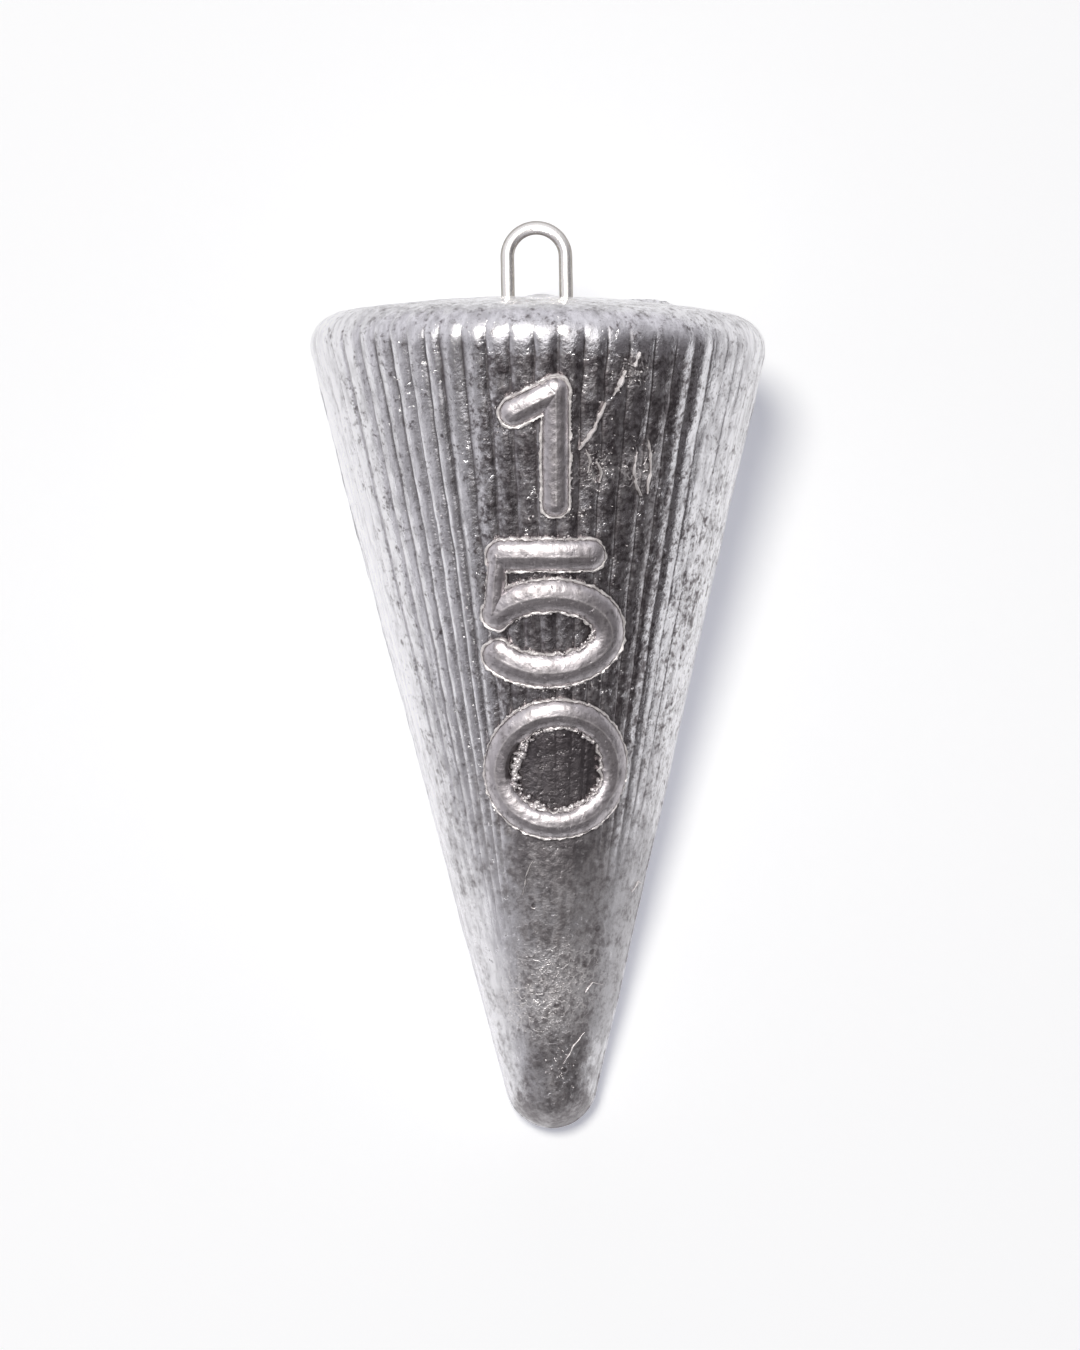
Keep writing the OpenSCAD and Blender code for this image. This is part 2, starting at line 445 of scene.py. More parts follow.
@dataclass(frozen=True)
class LeadFinish:
    """Cast lead: a soft metal shine under a mottled grey skin, with painted shade in the hollows and creases.
    """

    name: str = "cast_lead"
    clean: Triple = (0.83, 0.82, 0.845)
    skin: Triple = (0.55, 0.54, 0.56)
    grime_and_shade: Triple = (0.15, 0.135, 0.14)
    soot_and_shade: Triple = (0.16, 0.143, 0.15)
    dust: Triple = (0.44, 0.42, 0.43)
    burnish_and_highlight: Triple = (0.90, 0.86, 0.88)
    chalk: Triple = (0.74, 0.71, 0.73)
    roughness: float = 0.13
    dull: float = 0.15
    bare_dull: float = 0.14
    mottle_mm: float = 1.1
    speck_mm: float = 0.34
    bump: float = 0.45
    bump_mm: float = 0.1
    soiled: float = 0.0
    burnish_and_highlight_matte: float = 0.65
    crease_shade_reach_mm: float = 0.55
    drawn_out: float = 0.22
    pits: tuple[Triple, ...] = ()
    stains: tuple[Triple, ...] = ()
    scuffs: tuple[Triple, ...] = ()

    def material(self, outline: Outline) -> bpy.types.Material:
        """Make the material.

        Args:
            outline: Gives the turn from the lying sinker to its own axis, which the streaks follow.

        Returns:
            The material.
        """
        made, s = new_material(self.name)
        place = s.out(s.node("TexCoord"), "Object")
        back = outline.laid_down.inverted()
        turned = {"Location": back.translation, "Rotation": back.to_euler(), "Scale": (1 / MM,) * 3}
        upright = s.out(s.node("Mapping", {}, {"Vector": place, **turned}))
        long = s.out(s.node("Mapping", {}, {"Vector": upright, "Scale": (1.0, 1.0, self.drawn_out)}))
        hollow_shade, bare, soot_and_shade_mask, rim = (s.attribute(name) for name in ("hollow_shade", "bare", "soot_and_shade_mask", "rim"))
        mottle = self._noise(s, upright, self.mottle_mm, 5.0, 0.68)
        patch = self._noise(s, long, self.mottle_mm * 3.0, 3.0, 0.55)
        speck = self._noise(s, upright, self.speck_mm, 3.0, 0.65)
        streak = self._noise(s, long, self.speck_mm * 1.3, 3.0, 0.6)
        pit = (1.0 - speck).rise(0.62, 0.72) * patch.rise(0.45, 0.6)
        pit = pit.most(self._spots(s, upright, outline, self.pits, 0.5))
        stain = self._spots(s, upright, outline, self.stains, 0.3)
        scuff = self._spots(s, upright, outline, self.scuffs, 0.2)
        # Below 0 the soot-and-shade mark thins the oxide: painted reflection, lighter on the left.
        rubbed_and_lit = (soot_and_shade_mask * -1.0).most(0.0)
        oxide = (mottle * 0.2 + streak * 0.6 + patch * 0.35 + stain * 0.16 - rubbed_and_lit * 0.14).rise(0.46, 0.72)
        tone = s.mix(oxide, self.clean, self.skin)
        # Soot with painted shade darkens the skin, and past 1 it turns black.
        crusty = mottle * 0.45 + speck * 0.55 + soot_and_shade_mask * 0.19 + self.soiled
        cloudy = mottle * 0.55 + speck * 0.45 + soot_and_shade_mask * 0.2 + self.soiled
        soil = crusty.rise(0.51, 0.68) * (1.0 - bare) + cloudy.rise(0.40, 0.70) * bare
        thick = (soot_and_shade_mask - 1.0).most(0.0)
        black = (mottle * 0.5 + speck * 0.5 + thick * 0.11).rise(0.43, 0.6) * (1.0 - bare * 0.4)
        tone = s.mix(soil, tone, s.mix(black, self.dust, self.soot_and_shade))
        twist = abs(self._noise(s, upright, self.mottle_mm * 0.75, 2.0, 0.5) - 0.5)
        curl = (1.0 - twist.rise(0.006, 0.03)) * speck.rise(0.42, 0.55)
        scuffed = scuff * (curl * 0.9 + (1.0 - speck).rise(0.45, 0.62) * 0.45)
        tone = s.mix(scuffed, tone, self.chalk)
        # Painted shade in creases: ambient occlusion darkens them, more where soot and painted shade lie.
        open_air = s.out(s.node("AmbientOcclusion", {"samples": 8}, {"Distance": self.crease_shade_reach_mm * MM}), "AO")
        crease_shade = (1.0 - open_air.rise(0.4, 0.97)) * (0.3 + soot_and_shade_mask * 0.8)
        # Grime colour painted as shade into hollows and creases, together with the pits.
        dirt_and_shade = (hollow_shade * (0.45 + speck * 0.6)).most(pit * (0.25 + speck * 0.7)).most(crease_shade)
        tone = s.mix(dirt_and_shade.rise(0.08, 0.82), tone, self.grime_and_shade)
        # Painted highlight on the numerals' rims and crests, and burnish on burrs and crumbs: a pale colour
        # mixed in by the rim mark.
        tone = s.mix(rim * (0.75 + speck * 0.5), tone, self.burnish_and_highlight)
        rough = self.roughness + self.dull * oxide + soil * 0.1 + hollow_shade * 0.08
        rough = rough + bare * self.bare_dull + stain * 0.06 + scuff * 0.06 + rim * 0.05
        height = mottle * 0.9 + speck * (0.6 + scuff * 0.8 + soot_and_shade_mask * 0.35) + streak * 0.3
        height = height + scuff * curl * 0.5 - pit * 0.6
        # Less metal where the pale rim colour lies, so the painted highlight shows.
        metal = 1.0 - rim * self.burnish_and_highlight_matte - scuffed * 0.5
        s.coat(tone, metal, rough, s.bump(self.bump, self.bump_mm, height))
        return made

    def _spots(
        self, s: Shader, place: Socket, outline: Outline, spots: tuple[Triple, ...], core: float
    ) -> Socket | float:
        """Round soft-edged spots.

        Args:
            s: The shader.
            place: Coordinates on the standing sinker in millimetres.
            outline: Gives the side's shape.
            spots: Each one's turn round the side, distance down it and radius.
            core: Share of the radius that is full.

        Returns:
            One inside a spot and 0 outside, or the number 0 if there are none.
        """
        share: Socket | float = 0.0
        for turn, down, radius in spots:
            away = s.measure("DISTANCE", place, outline.side_point(turn, down))
            share = (1.0 - away.rise(radius * core, radius)).most(share)
        return share

    def _noise(self, s: Shader, place: Socket, size: float, detail: float, coarse: float) -> Socket:
        """Fractal noise.

        Args:
            s: The shader.
            place: Coordinates in millimetres.
            size: Width of the largest grains.
            detail: Number of finer layers.
            coarse: Strength of each finer layer against the one before.

        Returns:
            Values about one half.
        """
        inputs = {"Vector": place, "Scale": 1 / size, "Detail": detail, "Roughness": coarse}
        return s.out(s.node("TexNoise", {}, inputs), "Fac")


@dataclass(frozen=True)
class WireFinish:
    """Bright drawn wire with fine draw marks, painted shade on its sides and one dark nick."""

    name: str = "drawn_wire"
    bright: Triple = (0.90, 0.88, 0.85)
    flank_shade: Triple = (0.22, 0.19, 0.16)
    nick: Triple = (0.12, 0.10, 0.09)
    roughness: float = 0.2

    def material(self) -> bpy.types.Material:
        """Make the material."""
        made, s = new_material(self.name)
        place = s.out(s.node("TexCoord"), "Object")
        fine = s.out(s.node("Mapping", {}, {"Vector": place, "Scale": (9 / MM, 0.7 / MM, 5 / MM)}))
        marks = s.out(s.node("TexNoise", {}, {"Vector": fine, "Scale": 1.0, "Detail": 2.0}), "Fac")
        nick, flank = s.attribute("nick"), s.attribute("flank")
        # Painted shade on the wire's sides, broken by the draw marks; the top stays bright.
        tone = s.mix(flank * (0.6 + marks * 0.6), self.bright, self.flank_shade)
        tone = s.mix(nick, tone, self.nick)
        rough = self.roughness + marks * 0.12 + nick * 0.3
        s.coat(tone, 1.0, rough, s.bump(0.25, 0.02, marks))
        return made


def finish_piece(
    bm: bmesh.types.BMesh, name: str, outline: Outline, material: bpy.types.Material,
    sharp: float = 50.0,
) -> bpy.types.Object:
    """Lay a finished mesh down on the table and make it a piece of the object.

    Args:
        bm: The mesh on the standing sinker, in millimetres. It is freed.
        name: Name of the piece.
        outline: Gives the place on the table.
        material: The finish.
        sharp: Angle in degrees past which an edge is drawn sharp.

    Returns:
        The object.
    """
    bmesh.ops.recalc_face_normals(bm, faces=bm.faces)
    bmesh.ops.transform(bm, matrix=outline.laid_down, space=Matrix.Identity(4), verts=bm.verts)
    for vert in bm.verts:
        vert.co.z = max(vert.co.z, 0.0)
    mesh = bpy.data.meshes.new(name)
    bm.to_mesh(mesh)
    bm.free()
    mesh.shade_smooth()
    mesh.set_sharp_from_angle(angle=math.radians(sharp))
    mesh.materials.append(material)
    piece = bpy.data.objects.new(name, mesh)
    bpy.context.scene.collection.objects.link(piece)
    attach(piece, BODY)
    triangles = sum(len(p.vertices) - 2 for p in mesh.polygons)
    log.info("%s: %d triangles", name, triangles)
    return piece


def move_all(bm: bmesh.types.BMesh, move: Callable[[np.ndarray], np.ndarray]) -> None:
    """Move all points of a mesh at once.

    Args:
        bm: The mesh.
        move: Gives the new points from the old ones.
    """
    moved = move(np.array([v.co[:] for v in bm.verts]))
    for vert, place in zip(bm.verts, moved.tolist()):
        vert.co = place


def new_mesh(*layers: str) -> bmesh.types.BMesh:
    """An empty mesh whose points carry the named float layers."""
    bm = bmesh.new()
    for layer in layers:
        bm.verts.layers.float.new(layer)
    return bm


def only(geom: Iterable[object], kind: type) -> list:
    """The elements of one kind among those that an operator gives back."""
    return [g for g in geom if isinstance(g, kind)]


def even_line(corners: Sequence[Vector], step: float) -> list[Vector]:
    """Points along a line of corners.

    Args:
        corners: The corners in order.
        step: About how far apart the points are.

    Returns:
        The corners and the points between them.
    """
    line = [corners[0]]
    for a, b in zip(corners, corners[1:]):
        count = max(1, round((b - a).length / step))
        line += [a.lerp(b, (i + 1) / count) for i in range(count)]
    return line


def sweep(
    bm: bmesh.types.BMesh, loops: Sequence[Sequence[Vector]], capped: bool = False
) -> Verts:
    """Extrude a closed section from loop to loop.

    Args:
        bm: The mesh it goes into.
        loops: Places of the section's points at each station.
        capped: Whether a face closes each end.

    Returns:
        The new points, loop by loop. The layer spot holds each one's number in its loop.
    """
    spot = bm.verts.layers.int.get("spot") or bm.verts.layers.int.new("spot")
    verts = [bm.verts.new(place) for place in loops[0]]
    for i, vert in enumerate(verts):
        vert[spot] = i
    edges = [bm.edges.new((a, b)) for a, b in zip(verts, verts[1:] + verts[:1])]
    if capped:
        bm.faces.new(verts)
    made = list(verts)
    for loop in loops[1:]:
        grown = bmesh.ops.extrude_edge_only(bm, edges=edges)["geom"]
        verts = sorted(only(grown, bmesh.types.BMVert), key=lambda v: v[spot])
        edges = only(grown, bmesh.types.BMEdge)
        for vert, place in zip(verts, loop):
            vert.co = place
        made += verts
    if capped:
        bm.faces.new(verts)
    return made


@dataclass
class LeadBody:
    """The reeded cone, spun from its outline and then worked over: reeds, lumps, ridge and worn flat."""

    outline: Outline
    seed: int = 7
    steps_to_reed: int = 10
    crowding: float = 0.45
    wander: tuple[Pair, ...] = ((4.0, 0.5), (1.3, 0.3))
    flank_depth: float = 0.38
    flank_from: Pair = (27.0, 16.0)
    flank_fade: float = 36.0
    left_lines: Triple = (-53.0, 6.0, 0.4)
    zero_middle: Pair = (5.0, 25.8)
    zero_inside: Pair = (2.75, 2.6)
    lost_inside: float = 0.6
    lost_under: float = 0.85
    line_deg: float = 1.35
    line_rise: float = 0.034
    valleys: tuple[float, ...] = (
        -76, -69, -63, -57, -49.5, -44, -39, -34, -29, -25, -19, -13, -7, -1,
        5, 11, 17, 23, 30, 36, 42, 48, 54, 59, 64, 70, 77,
    )
    depth_span: Pair = (0.7, 1.12)
    skew_span: Pair = (0.75, 1.35)
    fullness_span: Pair = (0.5, 0.95)
    level_span: Pair = (-0.06, 0.0)
    tilt_span: Pair = (-0.05, 0.05)
    lump_mm: tuple[Pair, ...] = ((5.0, 0.05), (1.7, 0.034), (0.7, 0.022))
    eye_bump: Quad = (0.3, 0.1, 1.1, 0.3)
    head_pits: tuple[Quad, ...] = (
        (10.3, -2.6, 0.55, 0.35), (-7.6, -8.2, 0.4, 0.16), (4.4, -7.9, 0.3, 0.12),
    )

    @cached_property
    def edges(self) -> np.ndarray:
        """Angles of all the valleys round the body, in degrees."""
        seen = list(self.valleys)
        rest = self.outline.reed_count - len(seen)
        gap = 360.0 + seen[0] - seen[-1]
        rng = random.Random(self.seed)
        unseen = [seen[-1] + gap * (i + 1) / (rest + 1) + rng.uniform(-0.5, 0.5) for i in range(rest)]
        return np.array(seen + unseen + [seen[0] + 360.0])

    def build(self, material: bpy.types.Material) -> bpy.types.Object:
        """Make the body.

        Args:
            material: The lead finish.

        Returns:
            The piece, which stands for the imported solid.
        """
        rings = self.outline.rings()
        bm = new_mesh("ring", "hollow_shade", "bare", "soot_and_shade_mask")
        mark = bm.verts.layers.float["ring"]
        vert = bmesh.ops.create_vert(bm, co=(0.0, -rings[0].radius, rings[0].height))["vert"][0]
        for i, ring in enumerate(rings[1:], 1):
            vert = bmesh.ops.extrude_vert_indiv(bm, verts=[vert])["verts"][0]
            vert.co = (0.0, -ring.radius, ring.height)
            vert[mark] = i
        bmesh.ops.spin(
            bm, geom=bm.verts[:] + bm.edges[:], cent=(0, 0, 0), axis=(0, 0, 1), dvec=(0, 0, 0),
            angle=2 * math.pi, space=Matrix.Identity(4), steps=self.outline.reed_count, use_merge=True,
            use_normal_flip=False, use_duplicate=False,
        )
        bmesh.ops.remove_doubles(bm, verts=bm.verts, dist=MERGE_MM)
        across = [e for e in bm.edges if abs(e.verts[0][mark] - e.verts[1][mark]) < 0.5]
        bmesh.ops.subdivide_edges(bm, edges=across, cuts=self.steps_to_reed - 1)
        self._work_over(bm, rings)
        piece = finish_piece(bm, "lead_casting", self.outline, material, 180.0)
        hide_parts("lead_body")
        return piece

    def _work_over(self, bm: bmesh.types.BMesh, rings: list[Ring]) -> None:
        """Give the spun surface its reeds and lumps, with marks for painted shade in the hollows, for soot
        with painted shade and for the plain parts.

        Args:
            bm: The spun mesh.
            rings: Rings of the outline.
        """
        layers = bm.verts.layers.float
        mark, hollow_shade, bare, soot_and_shade_mask = (layers[name] for name in ("ring", "hollow_shade", "bare", "soot_and_shade_mask"))
        at = np.array([int(round(v[mark])) for v in bm.verts])
        table = np.array([(r.radius, r.height, r.lean, r.reeds, r.down) for r in rings])[at]
        radius, level_z, lean, reeded, down = table.T
        reed, phase = self._reed_and_phase(np.array([v.co[:] for v in bm.verts]))
        turn = self._turned(reed, phase, radius, level_z)
        count = self.outline.reed_count
        rng = random.Random(self.seed + 1)
        spans = (self.depth_span, self.skew_span, self.fullness_span, self.level_span, self.tilt_span)
        drawn = [np.array([rng.uniform(*span) for _ in range(count)]) for span in spans]
        depth, skew, fullness, level, tilt = drawn
        crown = np.sin(np.pi * phase ** skew[reed]) ** fullness[reed]
        valley_depth = np.minimum(depth[reed], depth[(reed - (phase < 0.5)) % count])
        aside = np.degrees(np.arcsin(np.abs(np.sin(turn))))
        off = (np.degrees(turn) + 180.0) % 360.0 - 180.0
        flank = np.where(off < 0.0, *self.flank_from)
        share = 1.0 - (1.0 - self.flank_depth) * smooth(flank, flank + self.flank_fade, aside)
        middle, spread, deeper = self.left_lines
        share += deeper * hump(middle, spread, off)
        across = (off - self.zero_middle[0]) * radius * math.radians(1.0) / self.zero_inside[0]
        along = (down - self.zero_middle[1]) / self.zero_inside[1]
        inside = smooth(1.2, 0.8, np.hypot(across, along))
        kept_inside = 1.0 - self.lost_inside * inside
        under = smooth(28.4, 30.6, down) * smooth(31.0, 19.0, np.abs(off - 3.0))
        reeds = reeded * share * kept_inside * (1.0 - self.lost_under * under)
        top = level[reed] - np.abs(tilt[reed]) + tilt[reed] * (2 * phase - 1)
        height = reeds * (top * crown - self.outline.reed_depth * valley_depth * (1.0 - crown))
        base = np.stack([radius * np.sin(turn), -radius * np.cos(turn), level_z], 1)
        near_pole = smooth(0.0, 2.0, radius)
        ring_mm = math.degrees(1.0) / self.line_deg
        lines = np.stack([ring_mm * np.sin(turn), ring_mm * np.cos(turn), level_z / 7.0], 1)
        height += self.line_rise * reeded * (grain(lines, 1.0, 5.0) - 0.5)
        for i, (size, rise) in enumerate(self.lump_mm):
            height += rise * (grain(base, size, 11.0 * i) - 0.3) * near_pole
        marked, pitted = self._head_marks(base, lean)
        height += self._ridge(turn, radius, down) + marked
        normal = np.stack([np.cos(lean) * np.sin(turn), -np.cos(lean) * np.cos(turn), np.sin(lean)], 1)
        moved = self.outline.slanted(base + normal * height[:, None])
        lined = np.where(off < 0.0, reeded * (1.0 - smooth(52.0, 64.0, aside)) * kept_inside, reeds)
        # Painted shade: the hollow mark darkens the reed valleys and the head's pits.
        valley = (1.0 - crown) ** 1.7 * np.maximum(lined, reeds) * (1.0 - under)
        dark = np.clip(np.maximum(valley, pitted), 0.0, 1.0)
        plain = smooth(20.0, 34.0, down) + 0.4 * smooth(0.5, 1.0, lean)
        # The third mark is soot with painted shade.
        marks = np.stack([dark, plain, self._soot_and_shade(off, down, level_z, inside)], 1).tolist()
        for vert, point, mark in zip(bm.verts, moved.tolist(), marks):
            vert.co = point
            vert[hollow_shade], vert[bare], vert[soot_and_shade_mask] = mark

    def _reed_and_phase(self, place: np.ndarray) -> tuple[np.ndarray, np.ndarray]:
        """Which reed each point of the spun mesh is on, and where on it.

        Args:
            place: The points, one to a row.

        Returns:
            The reed's number, and the share of its width, crowded towards the valleys.
        """
        spun = np.degrees(np.arctan2(place[:, 0], -place[:, 1])) % 360.0
        steps = self.outline.reed_count * self.steps_to_reed
        step = np.round(spun / 360.0 * steps).astype(int) % steps
        reed, even = step // self.steps_to_reed, (step % self.steps_to_reed) / self.steps_to_reed
        return reed, even - self.crowding * np.sin(2 * np.pi * even) / (2 * np.pi)

    def _turned(
        self, reed: np.ndarray, phase: np.ndarray, radius: np.ndarray, level_z: np.ndarray
    ) -> np.ndarray:
        """The angle of each point round the axis, on reeds that wander a little.

        Args:
            reed: Number of each point's reed.
            phase: Its place across the reed.
            radius: Its distance from the axis.
            level_z: Its height on the axis.

        Returns:
            The angles in radians.
        """
        edges = self.edges
        turn = edges[reed] + (edges[reed + 1] - edges[reed]) * phase
        way = np.radians(turn)
        plain = np.stack([radius * np.sin(way), -radius * np.cos(way), level_z], 1)
        for size, sway in self.wander:
            turn = turn + sway * grain(plain, size, 3.0) * smooth(2.0, 6.0, radius)
        return np.radians(turn)

    def _soot_and_shade(self, off: np.ndarray, down: np.ndarray, level_z: np.ndarray, inside: np.ndarray) -> np.ndarray:
        """Soot and painted shade at each point, below 0 where painted reflection lightens it and above 1
        where it is darkest.

        Args:
            off: Turn from the middle of the front in degrees.
            down: Distance down the side in millimetres.
            level_z: Height on the axis in millimetres.
            inside: How far each point lies inside the zero.

        Returns:
            The soot and painted shade.
        """
        # Painted shade and dark reflection with soot: a band over the face that looks up, wider at the tip.
        tip = 50.0 * smooth(4.2, 0.8, level_z)
        drawn_in = 4.5 * hump(35.0, 5.0, down)
        left, right = drawn_in - 14.0 - 0.3 * down - tip, 41.5 - 0.1 * down + tip
        blur = 9.0 - 3.5 * smooth(28.0, 33.0, down)
        front = within(left - blur, left + blur, right - blur, right + blur, off)
        front *= smooth(0.05, 0.7, down) * (1.0 - 0.5 * smooth(31.0, 35.5, down))
        # Darker under, inside and round the zero.
        under_zero = within(29.0, 30.0, 31.0, 33.5, down) * smooth(22.0, 12.0, np.abs(off - 3.0))
        in_zero = (0.7 + 0.35 * smooth(-4.0, 18.0, off)) * inside
        round_zero = within(22.0, 25.0, 28.5, 30.5, down) * (np.abs(off - 5.0) < 30.0)
        # Painted shadow right of the tip and at its end, where it meets the table; painted shade down the
        # right flank.
        right_of_tip = hump(31.0, 8.0, off) * smooth(40.5, 42.5, down) * smooth(2.6, 3.4, level_z)
        right_flank = hump(60.0, 18.0, off) * within(5.0, 12.0, 25.0, 31.0, down)
        # Painted reflection: lighter on a patch low on the left and along the left edge.
        left_rub = hump(-43.0, 12.0, off) * smooth(32.0, 36.0, down) * (1.0 - 0.8 * smooth(38.0, 43.0, down))
        left_edge = within(-170.0, -130.0, -78.0, -58.0, off)
        soot_and_shade = front + 0.5 * under_zero + 0.6 * right_of_tip + 0.7 * smooth(2.6, 0.8, level_z)
        soot_and_shade += in_zero + 0.35 * round_zero + 0.34 * right_flank
        return soot_and_shade - 0.8 * left_rub - 0.5 * left_edge

    def _ridge(self, turn: np.ndarray, radius: np.ndarray, down: np.ndarray) -> np.ndarray:
        """Height of the parting ridge down both sides.

        Args:
            turn: Angle of each point.
            radius: Distance of each point from the axis.
            down: Distance of each point down the side, 0 on the head.

        Returns:
            The added height.
        """
        off = np.abs(np.abs(np.sin(turn)) - 1.0)
        away = radius * np.arccos(1.0 - np.clip(off, 0.0, 1.0))
        share = np.clip(1.0 - away / self.outline.ridge_half_w, 0.0, 1.0) * smooth(0.0, 2.0, down)
        return self.outline.ridge_rise * share

    def _head_marks(self, base: np.ndarray, lean: np.ndarray) -> tuple[np.ndarray, np.ndarray]:
        """The bump between the wire's legs and the pits on the head.

        Args:
            base: Points of the outline's surface.
            lean: Angle of the normal at each point.

        Returns:
            The added height, and how far each point lies in a pit.
        """
        on_head = smooth(0.3, 0.9, lean)

        def near(x: float, y: float, size: float) -> np.ndarray:
            """How near each point is to a place on the head."""
            return np.exp(-((base[:, 0] - x) ** 2 + (base[:, 1] - y) ** 2) / size**2)

        *spot, rise = self.eye_bump
        added = rise * near(*spot)
        pitted = np.zeros(len(base))
        for *spot, drop in self.head_pits:
            share = near(*spot)
            added -= drop * share
            pitted += share
        return added * on_head, pitted * on_head


def add_crumb(
    bm: bmesh.types.BMesh, place: Vector, size: float, rng: random.Random
) -> Verts:
    """Add one uneven crumb of lead.

    Args:
        bm: The mesh it goes into.
        place: Its middle.
        size: Its radius.
        rng: Source of the random draws.

    Returns:
        Its points.
    """
    turn = Matrix.Rotation(rng.uniform(0.0, 6.28), 4, Vector((rng.random(), rng.random(), rng.random())))
    squash = Matrix.Diagonal((rng.uniform(0.7, 1.3), rng.uniform(0.7, 1.2), rng.uniform(0.5, 0.9), 1.0))
    matrix = Matrix.Translation(place) @ turn @ squash
    return bmesh.ops.create_icosphere(bm, subdivisions=1, radius=size, matrix=matrix)["verts"]


@dataclass(frozen=True)
class Stroke:
    """A stroke of a numeral: points in shares of half its width and of its height, and its width in mm.

    Its inner edge may be lumpier than its outer one, by so many mm, and its inner wall carries a painted
    shadow between two shares of its length.
    """

    points: tuple[Pair, ...]
    width: float
    closed: bool = False
    lumpy: float = 0.0
    dark: Pair = (0.0, 0.0)


def oval(cx: float, cy: float, rx: float, ry: float, start: float, end: float, steps: int = 72) -> tuple:
    """Points of an oval arc.

    Args:
        cx: Centre across.
        cy: Centre down.
        rx: Half width.
        ry: Half height.
        start: First angle in degrees.
        end: Last angle.
        steps: Number of steps.

    Returns:
        The points.
    """
    angles = [math.radians(start + (end - start) * i / steps) for i in range(steps + 1)]
    return tuple((cx + rx * math.cos(a), cy + ry * math.sin(a)) for a in angles)


@dataclass(frozen=True)
class Crumbs:
    """Grains of lead along a stretch of a stroke's edge."""

    start: float
    end: float
    side: float
    count: int
    size: float = 0.13
    off: Pair = (0.86, 1.06)


